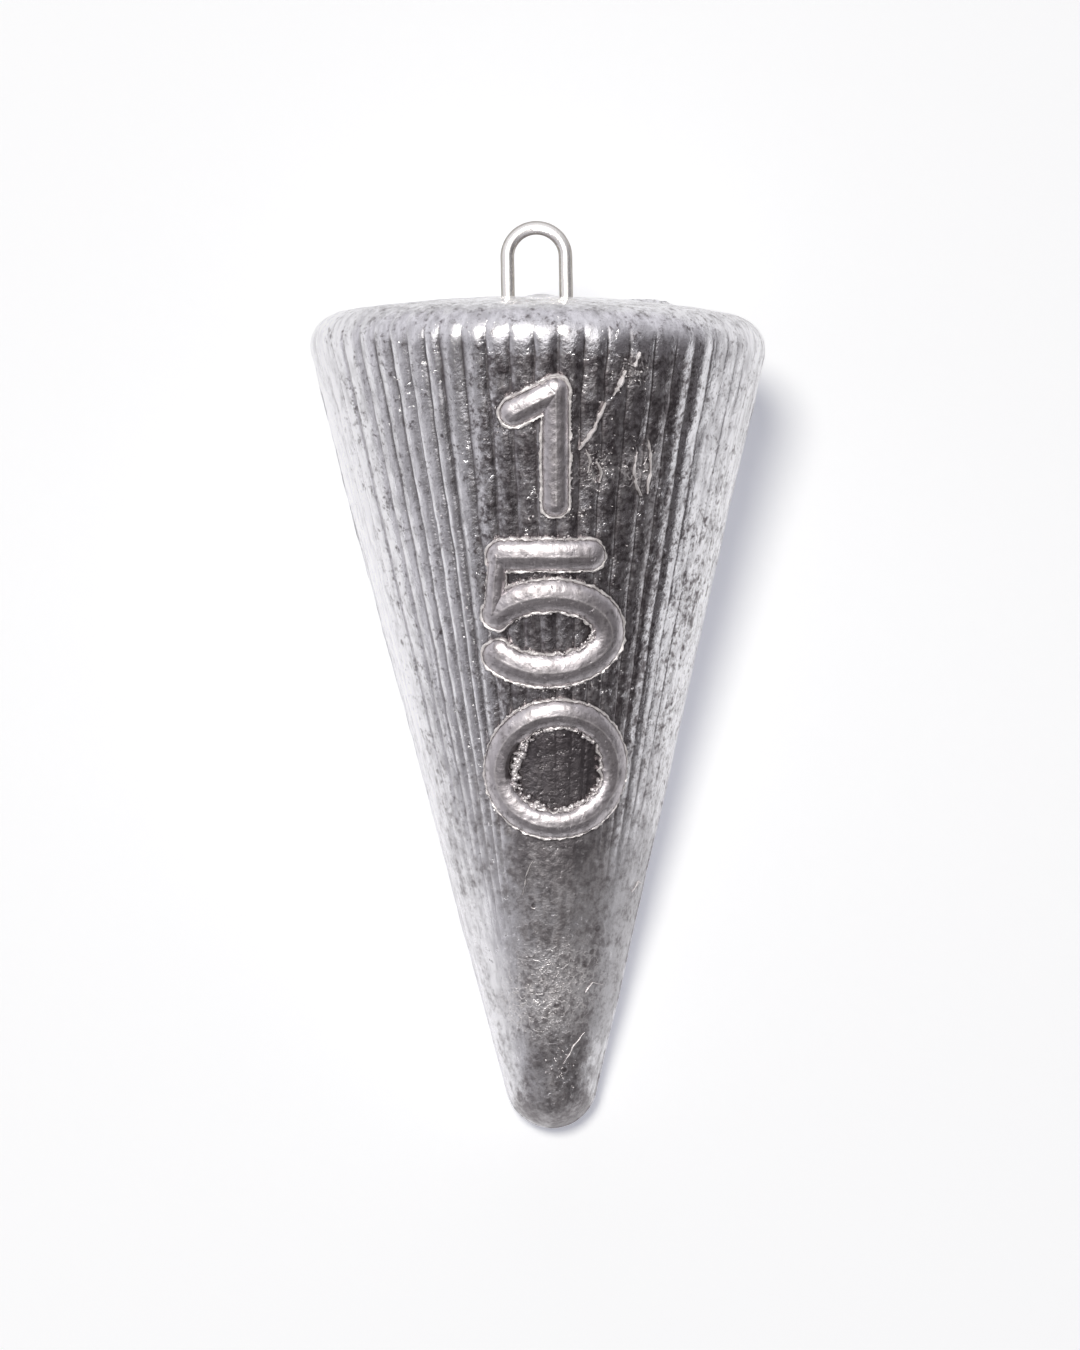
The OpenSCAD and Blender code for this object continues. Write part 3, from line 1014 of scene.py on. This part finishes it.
@dataclass
class Numeral:
    """One raised numeral: round-topped strokes with steep walls, a thin rim and crumbs from the mould."""

    outline: Outline
    name: str
    place: int
    strokes: tuple[Stroke, ...]
    crumbs: tuple[tuple[int, Crumbs], ...] = ()
    seed: int = 1
    drop: float = 1.5
    high: float = 9.1
    wide: float = 8.9
    gap: float = 0.8
    main_w: float = 1.9
    rise: float = 0.58
    turn: float = 5.0
    step: float = 0.12
    cap_steps: int = 9
    foot: float = -0.45
    rim_highlight_rows: int = 4
    shadow_rows: int = 8
    groove_shade: float = 0.7
    crest_highlight: float = 0.28
    profile: tuple[Pair, ...] = (
        (1.0, 0.0), (0.985, 0.16), (0.945, 0.28), (0.89, 0.29), (0.845, 0.21), (0.805, 0.36),
        (0.74, 0.52), (0.64, 0.67), (0.52, 0.78), (0.38, 0.87), (0.25, 0.925), (0.13, 0.955), (0.07, 0.97),
        (0.03, 0.985), (0.0, 0.985),
    )

    def build(self, material: bpy.types.Material) -> bpy.types.Object:
        """Make the numeral.

        Args:
            material: The lead finish.

        Returns:
            The piece.
        """
        bm = new_mesh("rim", "hollow_shade")
        for stroke in self.strokes:
            self._add(bm, stroke)
        rng = random.Random(self.seed)
        for index, crumbs in self.crumbs:
            self._scatter(bm, self.strokes[index], crumbs, rng)
        move_all(bm, self.outline.slanted)
        return finish_piece(bm, self.name, self.outline, material)

    def _flat(self, share: Pair) -> Vector:
        """A point of the unrolled side in millimetres, from shares of the numeral."""
        top = self.drop + self.place * (self.high + self.gap) + self.main_w / 2
        return Vector((share[0] * (self.wide - self.main_w) / 2, top + share[1] * (self.high - self.main_w)))

    def _line(self, stroke: Stroke) -> list[Vector]:
        """The stroke's centre line in even steps on the unrolled side."""
        return even_line([self._flat(p) for p in stroke.points], self.step)

    def _over(self, flat: Vector, above: float) -> Vector:
        """A point over the side from one of the unrolled side."""
        turn = self.turn + math.degrees(flat.x / self.outline.side_r(flat.y))
        return self.outline.side_point(turn, flat.y, above)

    def _stations(self, stroke: Stroke) -> list[list[Vector]]:
        """Cross sections of a stroke, each a loop of points over the side.

        Args:
            stroke: The stroke.

        Returns:
            The loops in order, with rounded ends on an open stroke.
        """
        line = self._line(stroke)
        half = stroke.width / 2
        ring = [(-q, h) for q, h in self.profile] + [(q, h) for q, h in self.profile[-2::-1]]
        frames: list[tuple[Vector, Vector, float]] = []
        last = len(line) - 1
        for i, point in enumerate(line):
            before = line[i - 1] if i else (line[-2] if stroke.closed else line[0])
            after = line[i + 1] if i < last else (line[1] if stroke.closed else line[last])
            frames.append((point, (after - before).normalized(), 90.0))
        if not stroke.closed:
            turns = [90.0 * j / self.cap_steps for j in range(self.cap_steps)]
            head = [(line[0], -frames[0][1], t) for t in turns]
            tail = [(line[-1], frames[-1][1], t) for t in reversed(turns)]
            frames = [(p, -d, -t) for p, d, t in head] + frames + tail
        made = []
        for point, along, angle in frames:
            side = Vector((-along.y, along.x))
            a = math.radians(abs(angle))
            push = math.copysign(math.cos(a), angle)
            loop = []
            for q, h in ring:
                flat = point + side * (q * half * math.sin(a)) + along * (abs(q) * half * push)
                loop.append(self._ragged(flat, point, q, h, stroke.lumpy * math.sin(a)))
            loop.append(self._over(point + (side * half * math.sin(a)) + along * half * push, self.foot))
            loop.append(self._over(point - (side * half * math.sin(a)) + along * half * push, self.foot))
            made.append(loop)
        return made

    def _ragged(self, flat: Vector, point: Vector, share: float, high: float, lumpy: float) -> Vector:
        """A point of the cross section with the roughness of the mould.

        Args:
            flat: Its place on the unrolled side.
            point: The centre line's place.
            share: Its distance from the centre line, as a share of half the width.
            high: Its height as a share of the rise.
            lumpy: Extra roughness of the inner edge.

        Returns:
            The point over the side.
        """
        key = Vector((flat.x, flat.y, self.seed))
        rag = noise.noise(key * 2.6) * 0.1 + noise.noise(key * 6.7) * 0.09
        if share > 0.0:
            rag += lumpy * (noise.noise(key * 1.9) + 0.5 * noise.noise(key * 4.3))
        edge = float(smooth(0.72, 0.95, abs(share)))
        out = (flat - point).normalized() if (flat - point).length > 1e-6 else Vector((0.0, 0.0))
        above = self.rise * high * (0.96 + 0.08 * noise.noise(key * 0.9)) + 0.022 * noise.noise(key * 3.9)
        above += edge * abs(noise.noise(key * 5.7)) * 0.16
        return self._over(flat + out * rag * edge, min(above, self.rise))

    def _add(self, bm: bmesh.types.BMesh, stroke: Stroke) -> None:
        """Add a stroke, with painted highlight on its rim and crest and painted shade in the groove inside
        it.

        Args:
            bm: The mesh it goes into.
            stroke: The stroke.
        """
        made = sweep(bm, self._stations(stroke))
        spot, layers = bm.verts.layers.int["spot"], bm.verts.layers.float
        rim, hollow_shade = layers["rim"], layers["hollow_shade"]
        around = 2 * len(self.profile) - 1
        for index, vert in enumerate(made):
            # Painted highlight on the rim rows and faintly along the crest; painted shade in the groove row.
            row = min(vert[spot], around - 1 - vert[spot])
            on_top = self.crest_highlight if row >= around // 2 - 1 else 0.0
            vert[rim] = 1.0 if 0 < row < self.rim_highlight_rows else on_top
            vert[hollow_shade] = self.groove_shade if row == self.rim_highlight_rows else 0.0
            # Painted shadow on the inner wall, over the stretch the stroke names.
            in_shadow = stroke.dark[0] < index / len(made) < stroke.dark[1]
            if in_shadow and row < self.shadow_rows and vert[spot] > around // 2:
                vert[rim], vert[hollow_shade] = 0.0, 1.0
        bmesh.ops.remove_doubles(bm, verts=made, dist=MERGE_MM)

    def _scatter(self, bm: bmesh.types.BMesh, stroke: Stroke, crumbs: Crumbs, rng: random.Random) -> None:
        """Scatter grains along one edge of a stroke.

        Args:
            bm: The mesh they go into.
            stroke: The stroke.
            crumbs: The stretch, the side and the number.
            rng: Source of the random draws.
        """
        line = self._line(stroke)
        for _ in range(crumbs.count):
            t = rng.uniform(crumbs.start, crumbs.end) * (len(line) - 2)
            i = int(t)
            along = (line[i + 1] - line[i]).normalized()
            side = Vector((-along.y, along.x)) * crumbs.side
            off = stroke.width / 2 * rng.uniform(*crumbs.off)
            place = self._over(line[i] + side * off, rng.uniform(0.0, 0.2))
            shine = rng.uniform(0.2, 0.8)
            for vert in add_crumb(bm, place, crumbs.size * rng.uniform(0.35, 1.0), rng):
                vert[bm.verts.layers.float["rim"]] = shine


@dataclass(frozen=True)
class Grit:
    """Loose crumbs of lead on the side: their middle and reach in degrees and mm, and how many there are."""

    turn: float
    down: float
    reach_deg: float
    reach_mm: float
    count: int
    size: float = 0.075


@dataclass(frozen=True)
class Burr:
    """A raised scratch: points round and down the side in degrees and mm, half width and rise in mm."""

    points: tuple[Pair, ...]
    half_w: float = 0.1
    rise: float = 0.1


@dataclass
class Scratches:
    """Burrs that knocks and scrapes have thrown up on the front, and crumbs between them."""

    outline: Outline
    burrs: tuple[Burr, ...]
    grit: tuple[Grit, ...]
    sink: float = -0.3
    step: float = 0.16
    seed: int = 5
    shine: float = 0.85
    section: tuple[Pair, ...] = (
        (-1.6, -1.0), (-1.0, 0.0), (-0.4, 0.85), (0.15, 1.0), (0.7, 0.4), (1.5, -1.0),
    )

    def build(self, material: bpy.types.Material) -> bpy.types.Object:
        """Make all burrs as one piece.

        Args:
            material: The lead finish.

        Returns:
            The piece.
        """
        bm = new_mesh("rim")
        for index, burr in enumerate(self.burrs):
            sweep(bm, self._stations(burr, index), capped=True)
        rng = random.Random(self.seed)
        for patch in self.grit:
            for _ in range(patch.count):
                turn = patch.turn + patch.reach_deg * rng.gauss(0.0, 0.5)
                down = patch.down + patch.reach_mm * rng.gauss(0.0, 0.5)
                place = self.outline.side_point(turn, down, -0.04)
                add_crumb(bm, place, patch.size * rng.uniform(0.5, 1.3), rng)
        rim = bm.verts.layers.float["rim"]
        for vert in bm.verts:
            vert[rim] = self.shine
        move_all(bm, self.outline.slanted)
        return finish_piece(bm, "scratch_burrs", self.outline, material)

    def _stations(self, burr: Burr, index: int) -> list[list[Vector]]:
        """Cross sections of one burr, each a loop of points over the side.

        Args:
            burr: The burr.
            index: Its number, for its noise.

        Returns:
            The loops in order.
        """
        o = self.outline
        line = even_line([Vector((math.radians(t) * o.side_r(d), d)) for t, d in burr.points], self.step)
        last = len(line) - 1
        loops = []
        for i, point in enumerate(line):
            along = (line[min(i + 1, last)] - line[max(i - 1, 0)]).normalized()
            side = Vector((-along.y, along.x))
            taper = math.sin(math.pi * min(1.0, (i + 0.6) / (last + 1.2))) ** 0.5
            key = Vector((point.x * 2.3, point.y * 2.3, index))
            swell = taper * max(0.12, 0.72 + 1.1 * noise.noise(key * 1.7))
            middle = point + side * 0.08 * noise.noise(key)
            loop = []
            for q, h in self.section:
                flat = middle + side * (q * burr.half_w * swell)
                above = self.sink if h < 0 else h * burr.rise * swell
                loop.append(o.side_point(math.degrees(flat.x / o.side_r(flat.y)), flat.y, above))
            loops.append(loop)
        return loops


@dataclass
class GateStub:
    """The torn stub of the pouring gate on the head."""

    outline: Outline
    out: float = 6.6
    back: float = 1.9
    wide: float = 4.7
    high: float = 0.6
    sunk: float = 0.75
    insets: tuple[float, ...] = (0.15, 0.2, 0.25, 0.3, 0.35, 0.4, 0.4)
    seed: int = 3

    def build(self, material: bpy.types.Material) -> bpy.types.Object:
        """Make the stub.

        Args:
            material: The lead finish.

        Returns:
            The piece.
        """
        bm = bmesh.new()
        low = self.outline.dome_z(math.hypot(self.out, self.back) + self.wide / 2) - self.sunk
        place = Matrix.Translation((self.out, self.back, low))
        disc = bmesh.ops.create_circle(bm, cap_ends=True, radius=self.wide / 2, segments=64, matrix=place)
        face = disc["verts"][0].link_faces[0]
        top = bmesh.ops.extrude_face_region(bm, geom=[face])["geom"]
        bmesh.ops.translate(bm, verts=only(top, bmesh.types.BMVert), vec=(0.0, 0.0, 1.0))
        cap = only(top, bmesh.types.BMFace)
        for inset in self.insets:
            bmesh.ops.inset_region(bm, faces=cap, thickness=inset, depth=0.0, use_even_offset=True)
        ring = [v for v in bm.verts if v.co.z > low + 0.5]
        for vert in ring:
            away = Vector((vert.co.x - self.out, vert.co.y - self.back, 0.0))
            key = Vector((vert.co.x, vert.co.y, self.seed))
            tear = noise.noise(key * 1.3) * 0.14 + noise.noise(key * 3.7) * 0.08
            inner = float(smooth(0.0, 0.9, self.wide / 2 - away.length))
            lean = 1.0 - 0.3 * away.x / (self.wide / 2)
            above = self.high * (0.1 + 0.9 * inner * lean) + tear * inner
            vert.co.z = low + self.sunk + min(above, self.high)
            vert.co += away * 0.06 * noise.noise(key * 2.1)
        bmesh.ops.triangulate(bm, faces=[f for f in bm.faces if len(f.verts) > 4])
        move_all(bm, self.outline.slanted)
        return finish_piece(bm, "gate_stub", self.outline, material)


@dataclass
class WireEye:
    """The bent wire: a round eye, two legs and two feet inside the lead."""

    outline: Outline
    eye_w: float = 4.45
    leg_l: float = 15.0
    bend_r: float = 1.3
    foot_l: float = 1.6
    slack: float = 0.002
    sides: int = 28
    bow_steps: int = 40
    leg_steps: int = 12
    bend_steps: int = 14
    nick_place: Triple = (1.95, -0.35, 53.35)
    nick_r: float = 0.2
    nick_depth: float = 0.06

    def build(self, material: bpy.types.Material) -> bpy.types.Object:
        """Make the wire.

        Args:
            material: The wire finish.

        Returns:
            The piece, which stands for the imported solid.
        """
        o = self.outline
        bow_r = (self.eye_w - o.wire_d) / 2
        bow_z = o.body_l + o.eye_h - self.eye_w / 2 - self.slack
        foot_z = o.body_l - self.leg_l
        bm = new_mesh("nick", "flank")
        flank = bm.verts.layers.float["flank"]
        start = Matrix.Translation((-bow_r, 0.0, bow_z))
        disc = bmesh.ops.create_circle(
            bm, cap_ends=False, radius=o.wire_d / 2, segments=self.sides, matrix=start
        )
        rim = list(dict.fromkeys(e for v in disc["verts"] for e in v.link_edges))
        other = self._turn(bm, rim, (0.0, 0.0, bow_z), math.pi, self.bow_steps)
        for side, edges in ((-1.0, rim), (1.0, other)):
            for _ in range(self.leg_steps):
                edges = self._push(bm, edges, (0.0, 0.0, -(bow_z - foot_z - self.bend_r) / self.leg_steps))
            centre = (side * (bow_r + self.bend_r), 0.0, foot_z + self.bend_r)
            edges = self._turn(bm, edges, centre, -side * math.pi / 2, self.bend_steps)
            edges = self._push(bm, edges, (side * self.foot_l, 0.0, 0.0))
            bmesh.ops.edgeloop_fill(bm, edges=edges)
        bmesh.ops.remove_doubles(bm, verts=bm.verts, dist=MERGE_MM)
        # Mark the wire's sides for painted shade.
        for vert in bm.verts:
            aside = math.sqrt(max(0.0, 1.0 - (vert.co.y / (o.wire_d / 2)) ** 2))
            vert[flank] = float(smooth(0.55, 0.95, aside))
        self._dent(bm)
        piece = finish_piece(bm, "wire_loop", o, material)
        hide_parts("wire_eye")
        return piece

    def _push(
        self, bm: bmesh.types.BMesh, edges: Edges, by: Triple
    ) -> Edges:
        """Extrude a rim straight on.

        Args:
            bm: The mesh.
            edges: Edges of the rim.
            by: The way it goes.

        Returns:
            Edges of the new rim.
        """
        grown = bmesh.ops.extrude_edge_only(bm, edges=edges)["geom"]
        bmesh.ops.translate(bm, verts=only(grown, bmesh.types.BMVert), vec=by)
        return only(grown, bmesh.types.BMEdge)

    def _turn(
        self, bm: bmesh.types.BMesh, edges: Edges, centre: tuple, angle: float, steps: int
    ) -> Edges:
        """Spin a rim round a bend.

        Args:
            bm: The mesh.
            edges: Edges of the rim.
            centre: Centre of the bend.
            angle: Angle of the bend about y.
            steps: Steps round it.

        Returns:
            Edges of the new rim.
        """
        spun = bmesh.ops.spin(
            bm, geom=edges, cent=centre, axis=(0, 1, 0), dvec=(0, 0, 0), angle=angle,
            space=Matrix.Identity(4), steps=steps, use_merge=False, use_normal_flip=False,
            use_duplicate=False,
        )
        return only(spun["geom_last"], bmesh.types.BMEdge)

    def _dent(self, bm: bmesh.types.BMesh) -> None:
        """Press the small nick into one leg, and mark it for its colour."""
        nick = bm.verts.layers.float["nick"]
        centre = Vector(self.nick_place)
        for vert in bm.verts:
            share = float(1 - smooth(0.3, 1.0, (vert.co - centre).length / self.nick_r))
            vert[nick] = share
            vert.co.y += self.nick_depth * share


@dataclass
class Studio:
    """A white table under a soft lamp, in a room that is light behind and to the left and dark in front."""

    light_side: Triple = (-0.42, 0.85, 0.0)
    limit: Pair = (-0.85, 0.62)
    bright: Triple = (0.89, 0.88, 0.92)
    dark: Triple = (0.108, 0.098, 0.104)
    panel_rise: Pair = (0.82, 0.885)
    panel: Triple = (1.27, 1.25, 1.27)
    fill: float = 0.06
    table_half: float = 0.2
    table: Triple = (0.86, 0.86, 0.86)
    glow: float = 0.42
    glow_tint: Triple = (0.87, 0.885, 1.0)
    far: Pair = (0.07, 0.18)
    lamp_place: Triple = (-0.086, 0.036, 0.62)
    lamp_tint: Triple = (1.0, 0.985, 0.91)
    lamp_size: float = 0.165
    lamp_power: float = 2.5

    def build(self) -> None:
        """Make the table, the room and the lamp."""
        self._table()
        self._room()
        self._lamp()

    def _table(self) -> None:
        """The table: white to the eye and in reflections, with the sinker's soft shadow on it."""
        bm = bmesh.new()
        bmesh.ops.create_grid(bm, x_segments=1, y_segments=1, size=self.table_half)
        mesh = bpy.data.meshes.new("table_top")
        bm.to_mesh(mesh)
        bm.free()
        made, s = new_material("white_table")
        seen = self._seen(s)
        coat = s.node("BsdfDiffuse", {}, {"Color": (*self.table, 1.0)})
        shine = s.node("Emission", {}, {"Color": (*self.glow_tint, 1.0), "Strength": seen * self.glow})
        both = s.node("AddShader", {}, {0: s.out(coat), 1: s.out(shine)})
        place = s.out(s.node("TexCoord"), "Object")
        away = s.measure("LENGTH", place).rise(*self.far)
        white = s.node("Emission", {}, {"Color": (1.0, 1.0, 1.0, 1.0), "Strength": 1.0})
        plain = away * s.out(s.node("LightPath"), "Is Camera Ray")
        whole = s.node("MixShader", {}, {0: plain, 1: s.out(both), 2: s.out(white)})
        s.show(whole)
        mesh.materials.append(made)
        floor = bpy.data.objects.new("table_top", mesh)
        bpy.context.scene.collection.objects.link(floor)

    def _seen(self, s: Shader) -> Socket:
        """One for rays that show the surroundings: from the camera, or by way of metal or glass."""
        path = s.node("LightPath")
        mirrored = s.out(path, "Is Glossy Ray").most(s.out(path, "Is Transmission Ray"))
        return s.out(path, "Is Camera Ray").most(mirrored)

    def _room(self) -> None:
        """The room as the metal mirrors it, plain white to the eye, and an even soft fill."""
        world = bpy.data.worlds.new("studio")
        bpy.context.scene.world = world
        world.use_nodes = True
        s = Shader(world.node_tree)
        way = s.out(s.node("TexCoord"), "Generated")
        towards = s.measure("DOT_PRODUCT", way, self.light_side)
        room = s.mix(towards.rise(*self.limit), self.dark, self.bright)
        up = s.measure("DOT_PRODUCT", way, (0.0, 0.0, 1.0))
        room = s.mix(up.rise(*self.panel_rise), room, self.panel)
        room = s.mix(s.out(s.node("LightPath"), "Is Camera Ray"), room, (1.0, 1.0, 1.0))
        shown = s.mix(self._seen(s), (self.fill,) * 3, room)
        s.show(s.node("Background", {}, {"Color": shown, "Strength": 1.0}), "World")

    def _lamp(self) -> None:
        """The soft lamp over the table."""
        lamp = bpy.data.lights.new("soft_lamp", "AREA")
        lamp.shape = "DISK"
        lamp.size = self.lamp_size
        lamp.energy = self.lamp_power
        lamp.color = self.lamp_tint
        holder = bpy.data.objects.new("soft_lamp", lamp)
        holder.location = self.lamp_place
        holder.rotation_euler = (-Vector(self.lamp_place)).to_track_quat("-Z", "Y").to_euler()
        bpy.context.scene.collection.objects.link(holder)


@dataclass
class Camera:
    """The photograph's viewpoint: nearly straight above, a little to the front."""

    place: Triple = (-0.00025, -0.05136, 0.24966)
    pitch: float = 12.052
    roll: float = 1.051
    lens: float = 105.9
    sensor: float = 36.0
    clip: Pair = (0.01, 20.0)

    def build(self) -> None:
        """Make the camera and the scene's view settings."""
        data = bpy.data.cameras.new("photo_camera")
        data.lens = self.lens
        data.sensor_width = self.sensor
        data.clip_start, data.clip_end = self.clip
        camera = bpy.data.objects.new("photo_camera", data)
        tip = Matrix.Rotation(math.radians(self.pitch), 4, "X")
        lean = Matrix.Rotation(math.radians(-self.roll), 4, "Z")
        camera.matrix_world = Matrix.Translation(self.place) @ tip @ lean
        scene = bpy.context.scene
        scene.collection.objects.link(camera)
        scene.camera = camera
        scene.view_settings.view_transform = "Standard"


WIDE_RIM: tuple[Pair, ...] = (
    (1.0, 0.0), (0.985, 0.16), (0.93, 0.27), (0.85, 0.28), (0.79, 0.2), (0.745, 0.36), (0.68, 0.53),
    (0.59, 0.68), (0.48, 0.79), (0.36, 0.87), (0.24, 0.925), (0.13, 0.955), (0.07, 0.97), (0.03, 0.985),
    (0.0, 0.985),
)
# The zero's inner wall carries painted shadow between 0.47 and 0.61 of its length.
ZERO: Stroke = Stroke(
    oval(0.0, 0.495, 1.04, 0.487, 0.0, 360.0, 96), 1.9, closed=True, lumpy=0.26, dark=(0.47, 0.61)
)


def numerals(outline: Outline) -> Iterable[Numeral]:
    """The three numerals, from the shoulder down."""
    yield Numeral(
        outline, "numeral_one", 0,
        (Stroke(((-0.06, 0.01), (-0.05, 0.97)), 1.9), Stroke(((-0.76, 0.2), (-0.07, 0.03)), 2.05)),
        crumbs=((1, Crumbs(0.1, 0.95, -1.0, 16, 0.11)), (0, Crumbs(0.2, 0.95, -1.0, 14, 0.1))),
        seed=1,
        profile=WIDE_RIM,
    )
    yield Numeral(
        outline, "numeral_five", 1,
        (
            Stroke(((-0.96, 0.02), (0.54, 0.03)), 2.15),
            Stroke(((-1.02, 0.02), (-1.1, 0.5)), 1.3),
            Stroke(oval(-0.15, 0.69, 1.05, 0.325, -147.0, 146.0), 2.2, lumpy=0.16),
        ),
        crumbs=(
            (0, Crumbs(0.1, 0.8, -1.0, 26, 0.13)), (0, Crumbs(0.15, 0.9, 1.0, 10, 0.1)),
            (2, Crumbs(0.03, 0.35, -1.0, 24, 0.14)), (2, Crumbs(0.5, 0.97, 1.0, 34, 0.16)),
            (2, Crumbs(0.55, 0.9, -1.0, 20, 0.13)), (2, Crumbs(0.03, 0.25, 1.0, 10, 0.12)),
        ),
        seed=2,
    )
    yield Numeral(
        outline, "numeral_zero", 2,
        (ZERO,),
        crumbs=(
            (0, Crumbs(0.6, 0.85, -1.0, 26, 0.13)), (0, Crumbs(0.02, 0.3, 1.0, 22, 0.2, (0.9, 1.1))),
            (0, Crumbs(0.3, 0.5, 1.0, 26, 0.24, (0.9, 1.3))),
            (0, Crumbs(0.46, 0.62, 1.0, 52, 0.26, (1.0, 1.4))),
            (0, Crumbs(0.56, 0.7, 1.0, 18, 0.2, (0.9, 1.3))), (0, Crumbs(0.63, 0.9, 1.0, 20, 0.17)),
        ),
        seed=3,
    )


def scratches(outline: Outline) -> Scratches:
    """The scratches on the front, where the photograph shows them."""
    return Scratches(
        outline,
        (
            Burr(((22.2, 1.35), (20.9, 2.1), (19.3, 2.9)), 0.15, 0.15),
            Burr(((17.4, 3.3), (15.9, 4.1), (14.6, 4.9), (12.4, 5.6), (10.6, 6.2)), 0.12, 0.13),
            Burr(((27.4, 6.3), (26.9, 7.3), (28.0, 8.3), (30.4, 9.0)), 0.09, 0.11),
            Burr(((30.6, 5.6), (31.8, 6.4), (32.6, 7.6), (32.2, 8.9)), 0.075, 0.09),
            Burr(((25.4, 0.2), (25.0, 0.7), (24.2, 1.1)), 0.15, 0.14),
            Burr(((15.8, 6.9), (17.4, 7.6), (16.6, 8.2)), 0.08, 0.09),
            Burr(((30.0, 40.2), (36.0, 39.6), (47.0, 39.8)), 0.055, 0.05),
            Burr(((14.0, 44.8), (24.0, 43.6), (34.0, 42.8)), 0.045, 0.045),
            Burr(((-8.0, 31.6), (-12.0, 32.4), (-15.0, 33.8)), 0.06, 0.06),
            Burr(((62.0, 34.0), (70.0, 33.4), (78.0, 33.6)), 0.07, 0.07),
            Burr(((12.6, 6.2), (13.8, 6.9), (13.2, 7.6)), 0.07, 0.07),
        ),
        (
            Grit(15.5, 7.4, 3.0, 1.6, 46, 0.055), Grit(19.0, 6.0, 6.0, 2.6, 14, 0.08),
            Grit(29.0, 7.0, 4.0, 2.2, 18, 0.06), Grit(-11.0, 4.8, 4.5, 1.3, 10, 0.06),
            Grit(7.0, 9.9, 9.0, 0.7, 26, 0.09), Grit(23.0, 1.6, 8.0, 1.4, 24),
            Grit(6.0, 20.6, 14.0, 0.5, 24, 0.08), Grit(22.0, 13.0, 6.0, 4.0, 12, 0.05),
            Grit(2.0, 39.5, 16.0, 2.6, 60, 0.06), Grit(10.0, 45.0, 22.0, 1.6, 34, 0.06),
            Grit(4.0, 26.0, 15.0, 2.2, 10, 0.05), Grit(-36.0, 12.0, 16.0, 9.0, 12, 0.05),
        ),
    )


PITS: tuple[Triple, ...] = (
    (34.2, 36.1, 0.3), (31.7, 37.6, 0.26), (27.0, 38.4, 0.3), (15.4, 45.2, 0.26), (41.0, 3.0, 0.16),
    (38.5, 10.2, 0.14), (-27.0, 5.2, 0.2), (-31.5, 3.4, 0.16), (-9.0, 34.5, 0.2), (5.5, 41.0, 0.22),
)
STAINS: tuple[Triple, ...] = ((62.0, 35.0, 7.0), (50.0, 40.0, 4.5))
SCUFFS: tuple[Triple, ...] = (
    (-4.0, 40.2, 4.4), (14.0, 39.4, 3.8), (-26.0, 41.0, 3.0), (15.8, 7.6, 1.7), (28.0, 7.4, 1.9),
    (24.0, 1.4, 1.6),
)


def main() -> None:
    """Build every piece in order, then the studio and the camera."""
    logging.basicConfig(level=logging.INFO, format="%(name)s: %(message)s", stream=sys.stdout)
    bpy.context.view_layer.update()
    outline = Outline()
    lead = LeadFinish(pits=PITS, stains=STAINS, scuffs=SCUFFS).material(outline)
    crisp = LeadFinish(
        name="cast_lead_numerals", clean=(0.62, 0.585, 0.605), skin=(0.44, 0.412, 0.43),
        soot_and_shade=(0.27, 0.25, 0.26), roughness=0.34, soiled=0.03,
    ).material(outline)
    LeadBody(outline).build(lead)
    for numeral in numerals(outline):
        numeral.build(crisp)
    scratches(outline).build(crisp)
    GateStub(outline).build(lead)
    WireEye(outline).build(WireFinish().material())
    Studio().build()
    Camera().build()


if __name__ == "__main__":
    main()
